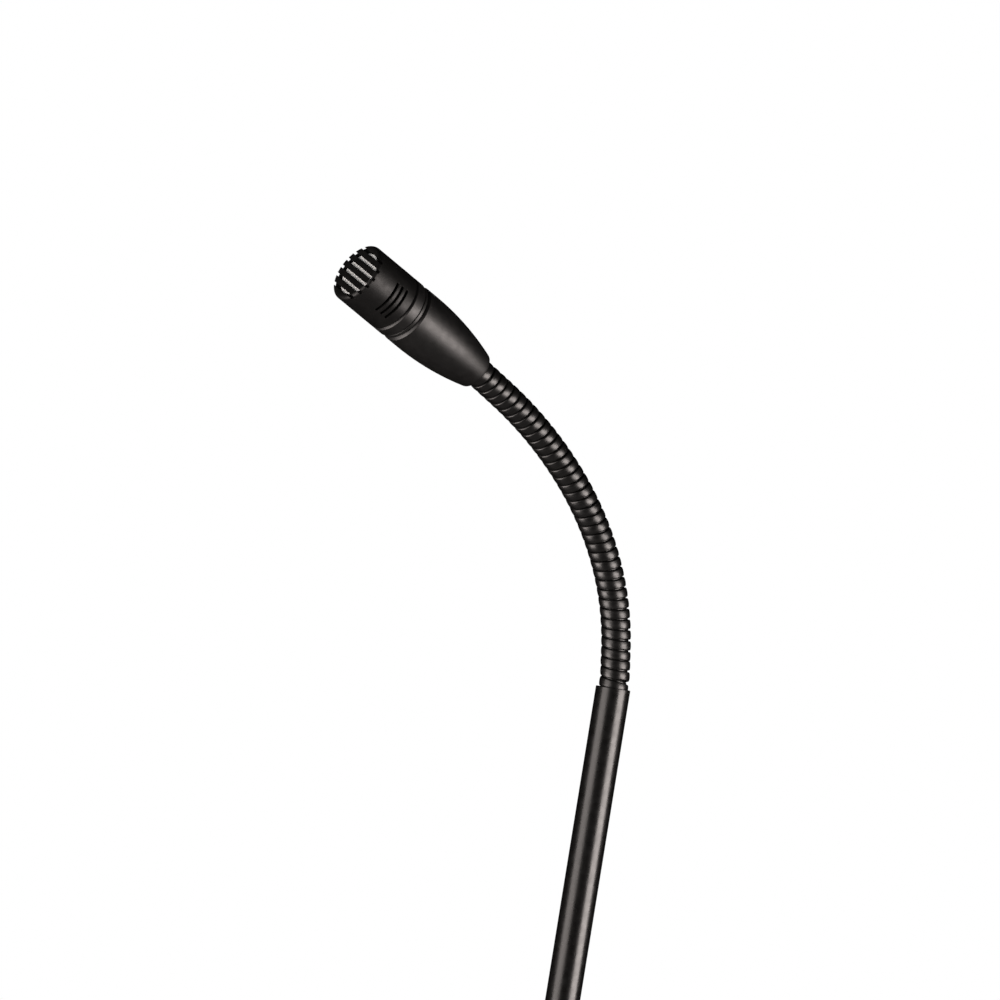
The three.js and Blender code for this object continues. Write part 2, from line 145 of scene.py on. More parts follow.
def rounded(outline, steps=4):
    """Replaces each (radius, z, fillet) corner by an arc; (radius, z) corners stay as they are."""
    points = []
    count = len(outline)
    for i, corner in enumerate(outline):
        here = Vector(corner[:2])
        fillet = corner[2] if len(corner) > 2 else 0
        if fillet == 0:
            points.append(here)
            continue
        back = Vector(outline[i - 1][:2]) - here
        ahead = Vector(outline[(i + 1) % count][:2]) - here
        half = back.angle(ahead) / 2
        reach = min(fillet / math.tan(half), 0.49 * back.length, 0.49 * ahead.length)
        radius = reach * math.tan(half)
        centre = here + (back.normalized() + ahead.normalized()).normalized() * radius / math.sin(half)
        start = (here + back.normalized() * reach - centre).normalized()
        end = (here + ahead.normalized() * reach - centre).normalized()
        for step in range(steps + 1):
            points.append(centre + radius * start.slerp(end, step / steps))
    return points


def mesh_object(name, bm, place, materials):
    """Turns a bmesh in local millimetres into an object with its place in its mesh."""
    bmesh.ops.recalc_face_normals(bm, faces=bm.faces)
    bm.transform(place)
    mesh = bpy.data.meshes.new(name)
    bm.to_mesh(mesh)
    bm.free()
    for material in materials:
        mesh.materials.append(material)
    mesh.polygons.foreach_set("use_smooth", [True] * len(mesh.polygons))
    mesh.set_sharp_from_angle(angle=SHARP_ANGLE)
    obj = bpy.data.objects.new(name, mesh)
    bpy.context.scene.collection.objects.link(obj)
    return obj


def bridge(bm, first, second):
    """Quads between two rings of vertices; a ring of one vertex makes a fan."""
    count = max(len(first), len(second))
    for i in range(count):
        j = (i + 1) % count
        near = [first[i % len(first)], first[j % len(first)]]
        far = [second[j % len(second)], second[i % len(second)]]
        corners = list(dict.fromkeys(near + far))
        if len(corners) > 2:
            bm.faces.new(corners)


def lathe_bmesh(outline, sides, closed):
    """Turns an outline of (radius, z) points round Z."""
    bm = bmesh.new()
    rings = []
    for radius, z in outline:
        if radius < 1e-6:
            rings.append([bm.verts.new((0, 0, z))])
            continue
        angles = [math.tau * i / sides for i in range(sides)]
        rings.append([bm.verts.new((radius * math.cos(a), radius * math.sin(a), z)) for a in angles])
    for first, second in zip(rings, rings[1:]):
        bridge(bm, first, second)
    if closed:
        bridge(bm, rings[-1], rings[0])
    return bm


def weight_normals(obj):
    """Keeps flat faces flat where they meet fillets."""
    weights = obj.modifiers.new("weighted", "WEIGHTED_NORMAL")
    weights.keep_sharp = True
    weights.weight = 100
    return obj


def lathe(name, outline, place, material, sides=96, closed=True):
    bm = lathe_bmesh(outline, sides, closed)
    return weight_normals(mesh_object(name, bm, place, [material]))


def skin(bm, rings):
    """Joins a row of vertex rings into a solid closed at both ends."""
    for first, second in zip(rings, rings[1:]):
        bridge(bm, first, second)
    bm.faces.new(rings[0])
    bm.faces.new(rings[-1])


def prism(bm, ring_low, ring_high):
    """A closed solid between two rings of points."""
    skin(bm, [[bm.verts.new(point) for point in ring] for ring in (ring_low, ring_high)])


def applied(obj):
    """Applies an object's modifiers to its mesh."""
    graph = bpy.context.evaluated_depsgraph_get()
    mesh = bpy.data.meshes.new_from_object(obj.evaluated_get(graph))
    old = obj.data
    obj.modifiers.clear()
    obj.data = mesh
    bpy.data.meshes.remove(old)
    return obj


def carve(obj, cutter_bm, place):
    """Cuts the cutters' solids out of obj."""
    cutter = mesh_object("cutter", cutter_bm, place, [])
    cut = obj.modifiers.new("cut", "BOOLEAN")
    cut.operation = "DIFFERENCE"
    cut.solver = "EXACT"
    cut.object = cutter
    applied(obj)
    bpy.data.objects.remove(cutter)
    return obj


def soften_edges(obj, width, segments=2):
    """Rounds the edges that a cut has left, width in millimetres."""
    bevel = obj.modifiers.new("bevel", "BEVEL")
    bevel.limit_method = "ANGLE"
    bevel.angle_limit = math.radians(40)
    bevel.width = width * MM
    bevel.segments = segments
    bevel.use_clamp_overlap = False
    applied(obj)
    obj.data.polygons.foreach_set("use_smooth", [True] * len(obj.data.polygons))
    obj.data.set_sharp_from_angle(angle=SHARP_ANGLE)
    return weight_normals(obj)


def place_piece(obj, body, slot, *nodes):
    """Puts a rigid piece on its body and hides the CAD nodes it stands for; slot is not used."""
    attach(obj, body)
    if nodes:
        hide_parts(*nodes)
    return obj


# ------------------------------------------------------------------ material helpers

class Shader:
    """A Principled material under construction."""

    def __init__(self, name, colour, roughness, metallic=0.0):
        self.material = bpy.data.materials.new(name)
        self.material.use_nodes = True
        self.material.diffuse_color = (*colour, 1)
        self.tree = self.material.node_tree
        self.bsdf = self.tree.nodes["Principled BSDF"]
        self.bsdf.inputs["Base Color"].default_value = (*colour, 1)
        self.bsdf.inputs["Roughness"].default_value = roughness
        self.bsdf.inputs["Metallic"].default_value = metallic
        self.coordinates = self.tree.nodes.new("ShaderNodeTexCoord")
        self.height = None

    def node(self, kind, **inputs):
        made = self.tree.nodes.new(kind)
        for name, value in inputs.items():
            made.inputs[name.replace("_", " ")].default_value = value
        return made

    def link(self, source, target):
        self.tree.links.new(source, target)

    def noise(self, scale, detail=3.0, stretch=(1, 1, 1), source="Object"):
        """Noise of the given features per metre, stretched along the axes; returns its output."""
        mapping = self.node("ShaderNodeMapping")
        mapping.inputs["Scale"].default_value = stretch
        self.link(self.coordinates.outputs[source], mapping.inputs["Vector"])
        texture = self.node("ShaderNodeTexNoise", Scale=scale, Detail=detail)
        self.link(mapping.outputs["Vector"], texture.inputs["Vector"])
        return texture.outputs["Fac"]

    def vary_colour(self, factor, dark, light):
        mix = self.node("ShaderNodeMix")
        mix.data_type = "RGBA"
        mix.inputs[6].default_value = (*dark, 1)
        mix.inputs[7].default_value = (*light, 1)
        self.link(factor, mix.inputs["Factor"])
        self.link(mix.outputs[2], self.bsdf.inputs["Base Color"])
        return mix

    def vary_roughness(self, factor, low, high):
        span_node = self.node("ShaderNodeMapRange")
        span_node.inputs["From Min"].default_value = 0.3
        span_node.inputs["From Max"].default_value = 0.7
        span_node.inputs["To Min"].default_value = low
        span_node.inputs["To Max"].default_value = high
        self.link(factor, span_node.inputs["Value"])
        self.link(span_node.outputs["Result"], self.bsdf.inputs["Roughness"])

    def bump(self, height, depth, strength=1.0):
        """Adds relief, depth in millimetres; later calls add to the earlier ones."""
        bump = self.node("ShaderNodeBump", Strength=strength, Distance=depth * MM)
        self.link(height, bump.inputs["Height"])
        if self.height is not None:
            self.link(self.height, bump.inputs["Normal"])
        self.height = bump.outputs["Normal"]
        self.link(self.height, self.bsdf.inputs["Normal"])


# Record base colours as materials start from them.
SLOT_COLOUR = {row["slot"]: tuple(row["base_color"]) for row in frame["record"]["materials"]}


def tone(colour, factor):
    return tuple(min(1.0, channel * factor) for channel in colour)


def coated_metal(name, slot, roughness, grain, depth, sheen=0.5):
    """Black finish with a fine even grain; sheen is the strength of its reflection."""
    colour = SLOT_COLOUR[slot]
    shader = Shader(name, colour, roughness)
    shader.bsdf.inputs["Specular IOR Level"].default_value = sheen
    shader.vary_colour(shader.noise(260, 4), tone(colour, 0.05), tone(colour, 0.1))
    shader.vary_roughness(shader.noise(420, 4), roughness - 0.04, roughness + 0.05)
    shader.bump(shader.noise(grain, 3), depth)
    return shader.material


def wire_enamel(name, slot, roughness):
    """Black enamel on drawn wire: faint streaks run along the wire, which UV.x follows."""
    colour = SLOT_COLOUR[slot]
    shader = Shader(name, colour, roughness)
    shader.vary_colour(shader.noise(300, 3), tone(colour, 0.05), tone(colour, 0.12))
    streaks = shader.noise(1.0, 3, stretch=(0.4, 9, 1), source="UV")
    shader.vary_roughness(streaks, roughness - 0.05, roughness + 0.06)
    shader.bump(streaks, 0.012)
    return shader.material


def plain_metal(name, slot, roughness, grain=2600, stretch=(1, 1, 1), metallic=1.0, lighten=1.0):
    colour = SLOT_COLOUR[slot]
    shader = Shader(name, colour, roughness, metallic)
    shader.vary_colour(shader.noise(180, 4), tone(colour, 0.86 * lighten), tone(colour, 1.08 * lighten))
    brushed = shader.noise(grain, 3, stretch=stretch)
    shader.vary_roughness(brushed, roughness - 0.06, roughness + 0.08)
    shader.bump(brushed, 0.01)
    return shader.material


def moulded(name, slot, roughness, grain=3500, depth=0.02, lighten=1.5):
    colour = SLOT_COLOUR[slot]
    shader = Shader(name, colour, roughness)
    shader.vary_colour(shader.noise(300, 4), tone(colour, 0.8), tone(colour, lighten))
    shader.vary_roughness(shader.noise(900, 3), roughness - 0.05, roughness + 0.07)
    shader.bump(shader.noise(grain, 4), depth)
    return shader.material


def circuit_board(name, slot):
    """Solder mask with faint copper tracks showing through."""
    colour = SLOT_COLOUR[slot]
    shader = Shader(name, colour, 0.32)
    bricks = shader.tree.nodes.new("ShaderNodeTexBrick")
    bricks.inputs["Scale"].default_value = 420
    bricks.inputs["Mortar Size"].default_value = 0.035
    bricks.inputs["Color1"].default_value = (*colour, 1)
    bricks.inputs["Color2"].default_value = (*tone(colour, 1.25), 1)
    bricks.inputs["Mortar"].default_value = (*tone(colour, 2.4), 1)
    shader.link(shader.coordinates.outputs["Object"], bricks.inputs["Vector"])
    shader.link(bricks.outputs["Color"], shader.bsdf.inputs["Base Color"])
    shader.vary_roughness(shader.noise(700, 3), 0.28, 0.4)
    shader.bump(bricks.outputs["Fac"], 0.03)
    return shader.material


def open_foam(name, slot):
    colour = SLOT_COLOUR[slot]
    shader = Shader(name, colour, 0.95)
    cells = shader.node("ShaderNodeTexVoronoi", Scale=2600)
    shader.link(shader.coordinates.outputs["Object"], cells.inputs["Vector"])
    shader.vary_colour(cells.outputs["Distance"], tone(colour, 0.35), tone(colour, 1.4))
    shader.bump(cells.outputs["Distance"], 0.25)
    return shader.material


HEAD_PAINT = coated_metal("head_satin_black", "head_metal", 0.44, 5200, 0.012)
CAP_PAINT = coated_metal("cap_matt_black", "head_metal", 0.46, 6200, 0.016, 0.27)
STEM_PAINT = coated_metal("stem_satin_black", "stem_metal", 0.29, 4200, 0.008)
NECK_ENAMEL = wire_enamel("neck_wire_enamel", "neck_wire", 0.33)
SCREEN_WIRE = plain_metal("screen_wire", "screen_mesh", 0.5, metallic=0.15, lighten=2.2)
FOAM = open_foam("acoustic_foam", "acoustic_foam")
GAUZE = moulded("vent_gauze", "acoustic_foam", 0.8, 4000, 0.02)
STEEL = plain_metal("steel", "steel", 0.32)
BRASS = plain_metal("brass", "brass", 0.3, 900, (0.1, 0.1, 3))
NICKEL = plain_metal("nickel_plate", "contact_metal", 0.2)
INSULATOR = moulded("insulator", "insulator", 0.5)
RUBBER = moulded("black_rubber", "black_rubber", 0.72, 2400, 0.03)
BOARD = circuit_board("circuit_board", "circuit_board")
RED_SLEEVE = moulded("red_sleeve", "red_sleeve", 0.45, 3000, 0.01, 1.2)
WHITE_SLEEVE = moulded("white_sleeve", "white_sleeve", 0.45, 3000, 0.01, 1.1)

# ------------------------------------------------------------------ head

HOUSING_BOTTOM, HOUSING_TOP, HEAD_RADIUS = span("rear_housing", AT_HEAD)
RING_BOTTOM, RING_TOP, _ = span("locking_ring", AT_HEAD)
CAP_BOTTOM, HEAD_LENGTH, _ = span("grille_cap", AT_HEAD)
HOUSING_REAR_RADIUS = 5.82
HOUSING_BEVEL = 0.75
TAPER_LENGTH = 26.0
BAND_START = 32.85
BAND_END = 36.5
BAND_BEVEL = 0.6
CAP_TURN = math.radians(-17.4)
SLOT_PITCH = 2.66
SLOT_WIDTH = 0.85
SLOT_DEPTH = 1.3
SLOT_COUNT = 6
GRILLE_THICKNESS = 0.9
GRILLE_BORE = 7.3
VENT_CENTRES = (40.1, 42.1, 44.1)
VENT_HALF_ANGLE = math.radians(34.5)
VENT_BORE = 7.8
VENT_BORE_BOTTOM = 39.6
VENT_BORE_TOP = 45.6
SCREEN_TURN = math.radians(31)  # of the wire cloth on the cap's slots


def housing_radius(z):
    short = max(0.0, 1 - z / TAPER_LENGTH)
    return HEAD_RADIUS - (HEAD_RADIUS - HOUSING_REAR_RADIUS) * short * short


def make_rear_housing():
    entry = 4.77
    entry_top = 3
    ferrule_bore = 5.75
    ferrule_top = 11
    skirt_bore = 8.3
    skirt_floor = 24
    taper_start = 1.2
    taper = [(housing_radius(z), z) for z in np.linspace(taper_start, TAPER_LENGTH, 30)]
    outline = rounded([
        (entry, 0, 0.15),
        (housing_radius(0), 0, 0.6),
        *taper,
        (HEAD_RADIUS, HOUSING_TOP - HOUSING_BEVEL, 0.12),
        (HEAD_RADIUS - HOUSING_BEVEL, HOUSING_TOP, 0.08),
        (skirt_bore, HOUSING_TOP),
        (skirt_bore, skirt_floor),
        (ferrule_bore, ferrule_top),
        (ferrule_bore, entry_top),
        (entry, entry_top),
    ])
    obj = lathe("head_rear_housing", outline, AT_HEAD, HEAD_PAINT, 144)
    return place_piece(obj, HEAD_BODY, "head_metal", "rear_housing")


def make_locking_ring():
    bore = 7
    housing_skirt = 8
    cap_skirt = 8.1
    recess = 9.1
    recess_bottom = HOUSING_TOP + 0.3
    groove = 8.85
    groove_width = 0.3
    groove_slope = 0.15
    outline = rounded([
        (bore, RING_BOTTOM),
        (housing_skirt, RING_BOTTOM),
        (housing_skirt, recess_bottom),
        (recess, recess_bottom, 0.12),
        (recess, BAND_START - groove_width - groove_slope, 0.1),
        (groove, BAND_START - groove_width),
        (groove, BAND_START),
        (HEAD_RADIUS, BAND_START, 0.18),
        (HEAD_RADIUS, BAND_END - BAND_BEVEL, 0.12),
        (HEAD_RADIUS - BAND_BEVEL, BAND_END, 0.08),
        (cap_skirt, BAND_END),
        (cap_skirt, RING_TOP),
        (bore, RING_TOP),
    ])
    obj = lathe("head_locking_ring", outline, AT_HEAD, HEAD_PAINT, 144)
    return place_piece(obj, HEAD_BODY, "head_metal", "locking_ring")


def slot_offsets():
    return [(i - (SLOT_COUNT - 1) / 2) * SLOT_PITCH for i in range(SLOT_COUNT)]


def add_slot_cutter(bm, offset):
    """One saw cut right across the front, flat-bottomed."""
    floor = HEAD_LENGTH - SLOT_DEPTH
    top = floor + 4
    half = SLOT_WIDTH / 2
    length = 1.2 * HEAD_RADIUS
    corners = [(-half, floor), (half, floor), (half, top), (-half, top)]
    ends = [[Vector((x, offset + y, z)) for y, z in corners] for x in (-length, length)]
    prism(bm, *ends)


def add_vent_cutter(bm, centre_z, middle):
    """A slot with round ends, wrapped round the cap from inside its bore to outside it."""
    cut_from = 7.0
    cut_to = 10.5
    straight_steps = 24
    end_steps = 8
    half_height = SLOT_WIDTH / 2
    half_length = HEAD_RADIUS * VENT_HALF_ANGLE - half_height
    outline = []
    for side in (1, -1):
        for i in range(straight_steps):
            outline.append((side * half_length * (2 * i / straight_steps - 1), -side * half_height))
        for i in range(end_steps):
            angle = math.pi * i / end_steps
            reach = half_length + half_height * math.sin(angle)
            outline.append((side * reach, -side * half_height * math.cos(angle)))
    rings = []
    for radius in (cut_from, cut_to):
        ring = []
        for distance, height in outline:
            angle = middle + distance / HEAD_RADIUS
            point = Vector((radius * math.cos(angle), radius * math.sin(angle), centre_z + height))
            ring.append(point)
        rings.append(ring)
    prism(bm, *rings)


def make_grille_cap():
    skirt_bore = 8.4
    outline = rounded([
        (0, HEAD_LENGTH - GRILLE_THICKNESS),
        (GRILLE_BORE, HEAD_LENGTH - GRILLE_THICKNESS),
        (GRILLE_BORE, VENT_BORE_TOP),
        (VENT_BORE, VENT_BORE_TOP),
        (VENT_BORE, VENT_BORE_BOTTOM),
        (skirt_bore, VENT_BORE_BOTTOM),
        (skirt_bore, CAP_BOTTOM),
        (HEAD_RADIUS, CAP_BOTTOM, 0.2),
        (HEAD_RADIUS, HEAD_LENGTH, 1.1),
        (0, HEAD_LENGTH),
    ], 8)
    place = AT_HEAD @ Matrix.Rotation(CAP_TURN, 4, "Z")
    bm = lathe_bmesh(outline, 144, False)
    cap = mesh_object("head_grille_cap", bm, place, [CAP_PAINT])
    cutters = bmesh.new()
    for offset in slot_offsets():
        add_slot_cutter(cutters, offset)
    for centre_z in VENT_CENTRES:
        for middle in (0, math.pi):
            add_vent_cutter(cutters, centre_z, middle)
    carve(cap, cutters, place)
    soften_edges(cap, 0.09)
    return place_piece(cap, HEAD_BODY, "head_metal", "grille_cap")


def tube_along(bm, points, radius, sides):
    """A closed tube along points, for nearly straight wires in local millimetres."""
    rings = []
    for i, point in enumerate(points):
        before = points[max(i - 1, 0)]
        after = points[min(i + 1, len(points) - 1)]
        along = (after - before).normalized()
        side = along.cross(AXIS_Z)
        if side.length < 1e-3:
            side = along.cross(AXIS_X)
        side.normalize()
        up = side.cross(along)
        angles = [math.tau * k / sides for k in range(sides)]
        spokes = [math.cos(a) * side + math.sin(a) * up for a in angles]
        rings.append([bm.verts.new(point + radius * spoke) for spoke in spokes])
    skin(bm, rings)


def ring_tube(bm, points, radius):
    """A thin square-section tube round a closed ring of points about Z."""
    rings = []
    for x, y, z in points:
        outward = Vector((x, y, 0)).normalized()
        corners = ((1, 0), (0, 1), (-1, 0), (0, -1))
        centre = Vector((x, y, z))
        rings.append([bm.verts.new(centre + radius * (a * outward + b * AXIS_Z)) for a, b in corners])
    for first, second in zip(rings, rings[1:] + rings[:1]):
        bridge(bm, first, second)


def make_screen():
    """Plain-woven wire cloth with a rolled rim."""
    low, high, radius = span("windscreen_mesh", AT_HEAD)
    wire = 0.11
    pitch = 0.36
    middle = high - 2 * wire
    bm = bmesh.new()
    count = int((radius - pitch) / pitch)
    for across in (False, True):
        for i in range(-count, count + 1):
            offset = i * pitch
            reach = math.sqrt((radius - wire) ** 2 - offset ** 2)
            steps = max(4, int(2 * reach / pitch * 3))
            points = []
            for t in np.linspace(-reach, reach, steps + 1):
                lift = wire * math.cos(math.pi * (t / pitch + i)) * (-1 if across else 1)
                flat = (offset, t) if across else (t, offset)
                points.append(Vector((*flat, middle + lift)))
            tube_along(bm, points, wire, 6)
    place = AT_HEAD @ Matrix.Rotation(CAP_TURN + SCREEN_TURN, 4, "Z")
    cloth = mesh_object("head_screen_cloth", bm, place, [SCREEN_WIRE])
    place_piece(cloth, HEAD_BODY, "screen_mesh", "windscreen_mesh")
    rim_bore = radius - 0.5
    rim = rounded([
        (rim_bore, low, 0.05),
        (radius, low, 0.1),
        (radius, high, 0.1),
        (rim_bore, high, 0.1),
    ])
    rim_piece = lathe("head_screen_rim", rim, AT_HEAD, SCREEN_WIRE, 96)
    return place_piece(rim_piece, HEAD_BODY, "screen_mesh")


def make_foam():
    """The pop screen: a soft disc with a bulged, uneven face."""
    low, high, radius = span("foam_disc", AT_HEAD)
    bulge = 0.12
    roughness = 0.06
    face = [(radius * t, high - bulge * t ** 4) for t in np.linspace(0, 0.96, 26)]
    outline = [*face, *rounded([(radius, high, 0.3), (radius, low, 0.2), (0, low)])]
    bm = lathe_bmesh(outline, 96, False)
    for vertex in bm.verts:
        grain = noise.noise(vertex.co * 2.4) + 0.5 * noise.noise(vertex.co * 6.1)
        vertex.co.z += roughness * grain
    foam = mesh_object("head_foam_disc", bm, AT_HEAD, [FOAM])
    place_piece(foam, HEAD_BODY, "acoustic_foam", "foam_disc")
    return foam


def make_vent_gauze():
    """Fine cloth rolled to a tube behind the side vents."""
    low, high, radius = span("vent_gauze", AT_HEAD)
    wire = 0.06
    middle = radius - 2 * wire
    turns = 16
    threads = 72
    heights = [low + wire + (high - low - 2 * wire) * i / (turns - 1) for i in range(turns)]
    bm = bmesh.new()
    for i, z in enumerate(heights):
        points = []
        for k in range(threads * 2):
            angle = math.tau * k / (threads * 2)
            bulge = middle + wire * math.cos(math.pi * (k + i))
            points.append((bulge * math.cos(angle), bulge * math.sin(angle), z))
        ring_tube(bm, points, wire)
    for k in range(threads):
        angle = math.tau * k / threads
        spoke = Vector((math.cos(angle), math.sin(angle), 0))
        points = []
        for i, z in enumerate(heights):
            points.append(spoke * (middle - wire * math.cos(math.pi * i)) + AXIS_Z * z)
        tube_along(bm, points, wire, 4)
    gauze = mesh_object("head_vent_gauze", bm, AT_HEAD, [GAUZE])
    return place_piece(gauze, HEAD_BODY, "acoustic_foam", "vent_gauze")


make_rear_housing()
make_locking_ring()
make_grille_cap()
make_screen()
make_foam()
make_vent_gauze()

# ------------------------------------------------------------------ neck

# The neck's middle line is the running mean of the jointed chain's own line, so it bends evenly
# from turn to turn and still meets the stem and the head on their axes.
NECK_RADIUS = 4.47
CLOSED_PITCH = 2.962  # of the winding where its turns touch
BAND_HALF_WIDTH = 1.4
BAND_CROWN = 0.08
BAND_EDGE = 0.45
BAND_ROOT_RADIUS = 3.15
BAND_ROOT_HALF_WIDTH = 0.33
SPRING_RADIUS = 1.0
SPRING_CENTRE = 2.75
CABLE_RADIUS = 0.95
NECK_PHASE = math.radians(70)
SPRING_PHASE = NECK_PHASE + math.pi
SEAM_TURN = 0.206
TURN_STEPS = 60
LENGTH_IN_STEM = 11
LENGTH_IN_HEAD = 8
CABLE_END_IN_HEAD = 13.6
OVERRUN = 20  # how far the chain's line goes on into the stem and the head


def chain_line():
    """Lengths along the chain from the stem's rim, and the points there, in millimetres."""
    points = [NECK_START / MM - AXIS_Z * OVERRUN]
    points += [pivot / MM for pivot in PIVOTS]
    points.append(HEAD_REAR / MM + HEAD_AXIS * OVERRUN)
    lengths = [-OVERRUN]
    for first, second in zip(points, points[1:]):
        lengths.append(lengths[-1] + (second - first).length)
    return np.array(lengths), np.array(points)


def running_sums(step=0.05):
    lengths, points = chain_line()
    places = np.arange(lengths[0], lengths[-1], step)
    chain = np.stack([np.interp(places, lengths, points[:, k]) for k in range(3)], axis=1)
    return places, chain, np.cumsum(chain, axis=0) * step


PLACES, CHAIN, SUMS = running_sums()


def middle_line(s):
    """The point of the neck's middle line at length s from the stem's rim, in millimetres."""
    window = min(LINK, s, NECK_LENGTH - s)
    if window < 0.1:
        return Vector([np.interp(s, PLACES, CHAIN[:, k]) for k in range(3)])
    ends = [[np.interp(s + side * window, PLACES, SUMS[:, k]) for k in range(3)] for side in (-1, 1)]
    return (Vector(ends[1]) - Vector(ends[0])) / (2 * window)


def neck_frame(s):
    """(point, tangent, side) of the middle line at length s."""
    tangent = (middle_line(s + 0.2) - middle_line(s - 0.2)).normalized()
    side = tangent.cross(AXIS_X).normalized()
    return middle_line(s), tangent, side


def turns_wound(s):
    """Turns between the stem's rim and length s: they touch on the inside of the bend."""
    _, tangent, _ = neck_frame(s)
    return (s - NECK_RADIUS * AXIS_Z.angle(tangent)) / CLOSED_PITCH


def joint_lengths():
    """Where one stretch of the neck passes to the next: near whole links, on the winding's far side."""
    lengths = np.arange(0, NECK_LENGTH, 0.1)
    turns = [turns_wound(s) for s in lengths]
    ends = [0.0]
    for index in range(1, len(PIVOTS)):
        whole_turn = round(turns_wound(index * LINK) + SEAM_TURN) - SEAM_TURN
        ends.append(float(np.interp(whole_turn, turns, lengths)))
    return ends + [NECK_LENGTH]


def helix_solid(bm, section, start, end, phase):
    """Sweeps a (radial, axial) section along the neck's left-handed helix between two lengths."""
    layer = bm.loops.layers.uv.verify()
    steps = round((end - start) / CLOSED_PITCH * TURN_STEPS)
    rings = []
    for i in range(steps + 1):
        s = start + (end - start) * i / steps
        point, tangent, side = neck_frame(s)
        angle = phase - math.tau * turns_wound(s)
        outward = math.cos(angle) * AXIS_X + math.sin(angle) * side
        places = [point + radial * outward + axial * tangent for radial, axial in section]
        rings.append([bm.verts.new(place) for place in places])
    count = len(section)
    first_turn = start / CLOSED_PITCH * TURN_STEPS
    for i, (first, second) in enumerate(zip(rings, rings[1:])):
        for k in range(count):
            j = (k + 1) % count
            face = bm.faces.new((first[k], first[j], second[j], second[k]))
            corners = ((i, k), (i, k + 1), (i + 1, k + 1), (i + 1, k))
            for loop, (step, corner) in zip(face.loops, corners):
                loop[layer].uv = ((first_turn + step) / TURN_STEPS * 10, corner / count)
    for ring in (rings[0], rings[-1]):
        bm.faces.new(ring)


def band_section():
    """The visible wire: a nearly flat face with rounded edges, and a wedge that narrows inward."""
    flat = BAND_HALF_WIDTH - BAND_EDGE
    shoulder = NECK_RADIUS - BAND_CROWN - BAND_EDGE
    face = []
    for t in np.linspace(-1, 1, 7).tolist():
        face.append((NECK_RADIUS - BAND_CROWN * t * t, flat * t))
    edge = []
    for degrees in (72, 54, 36, 18, 0):
        angle = math.radians(degrees)
        edge.append((shoulder + BAND_EDGE * math.sin(angle), flat + BAND_EDGE * math.cos(angle)))
    mirrored = [(radial, -axial) for radial, axial in reversed(edge)]
    root = [(BAND_ROOT_RADIUS, side * BAND_ROOT_HALF_WIDTH) for side in (1, -1)]
    return mirrored + face + edge + root


def round_section(centre, radius, sides=14):
    angles = [math.tau * k / sides for k in range(sides)]
    return [(centre + radius * math.cos(a), radius * math.sin(a)) for a in angles]


def neck_solid(name, section, start, end, phase):
    bm = bmesh.new()
    helix_solid(bm, section, start, end, phase)
    return mesh_object(name, bm, Matrix.Scale(MM, 4), [NECK_ENAMEL])


def neck_winding(name, start, end):
    return neck_solid(name, band_section(), start, end, NECK_PHASE)


def neck_spring(name, start, end):
    """The round wire inside the winding, half a turn from it."""
    return neck_solid(name, round_section(SPRING_CENTRE, SPRING_RADIUS), start, end, SPRING_PHASE)


def neck_cable(name, start, end):
    """The cable's length inside one stretch of the neck."""
    bm = bmesh.new()
    steps = max(2, round((end - start) / 0.9))
    points = [middle_line(start + (end - start) * i / steps) for i in range(steps + 1)]
    rings = []
    for i, point in enumerate(points):
        _, tangent, side = neck_frame(start + (end - start) * i / steps)
        angles = [math.tau * k / 16 for k in range(16)]
        spokes = [math.cos(a) * AXIS_X + math.sin(a) * side for a in angles]
        rings.append([bm.verts.new(point + CABLE_RADIUS * spoke) for spoke in spokes])
    skin(bm, rings)
    return mesh_object(name, bm, Matrix.Scale(MM, 4), [RUBBER])


def make_neck():
    ends = joint_lengths()
    for index, (start, end) in enumerate(zip(ends, ends[1:])):
        number = f"{index + 1:02d}"
        band = neck_winding(f"neck_winding_{number}", start, end)
        spring = neck_spring(f"neck_spring_{number}", start, end)
        cable = neck_cable(f"neck_cable_{number}", start, end)
        for piece, slot in ((band, "neck_wire"), (spring, "neck_wire"), (cable, "black_rubber")):
            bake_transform(piece)
        if index < len(PIVOTS) - 1:
            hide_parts(f"neck_link_{number}")


def straight_cable(name, bottom, top, place):
    outline = rounded([
        (0, bottom),
        (CABLE_RADIUS, bottom, 0.2),
        (CABLE_RADIUS, top, 0.2),
        (0, top),
    ])
    return lathe(name, outline, place, RUBBER, 24, closed=False)


def make_neck_ends():
    """The turns fixed inside the stem and inside the head, and the cable beyond them."""
    ends = (
        ("lower", -LENGTH_IN_STEM, 0, STEM_BODY, "neck_stub_lower"),
        ("upper", NECK_LENGTH, NECK_LENGTH + LENGTH_IN_HEAD, HEAD_BODY, "neck_stub_upper"),
    )
    for name, start, end, body, node in ends:
        winding = neck_winding(f"neck_end_winding_{name}", start, end)
        place_piece(winding, body, "neck_wire", node)
        spring = neck_spring(f"neck_end_spring_{name}", start, end)
        place_piece(spring, body, "neck_wire")
    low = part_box("signal_cable")[0].z / MM
    stem_cable = straight_cable("stem_cable", low, STEM_TOP, AT_ORIGIN)
    place_piece(stem_cable, STEM_BODY, "black_rubber", "signal_cable")
    head_cable = straight_cable("head_cable", 0, CABLE_END_IN_HEAD, AT_HEAD)
    place_piece(head_cable, HEAD_BODY, "black_rubber")


make_neck()
make_neck_ends()

# ------------------------------------------------------------------ stem, base and plug

PLUG_BORE = 9.8
STEM_HOLE = 5.5
SLEEVE_BORE = 7.5
GRUB_HEIGHT = 35
SHELL_BORE = 8.15
INSERT_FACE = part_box("xlr_insert")[0].z / MM
PIN_NODES = ("xlr_pin_1", "xlr_pin_2", "xlr_pin_3")


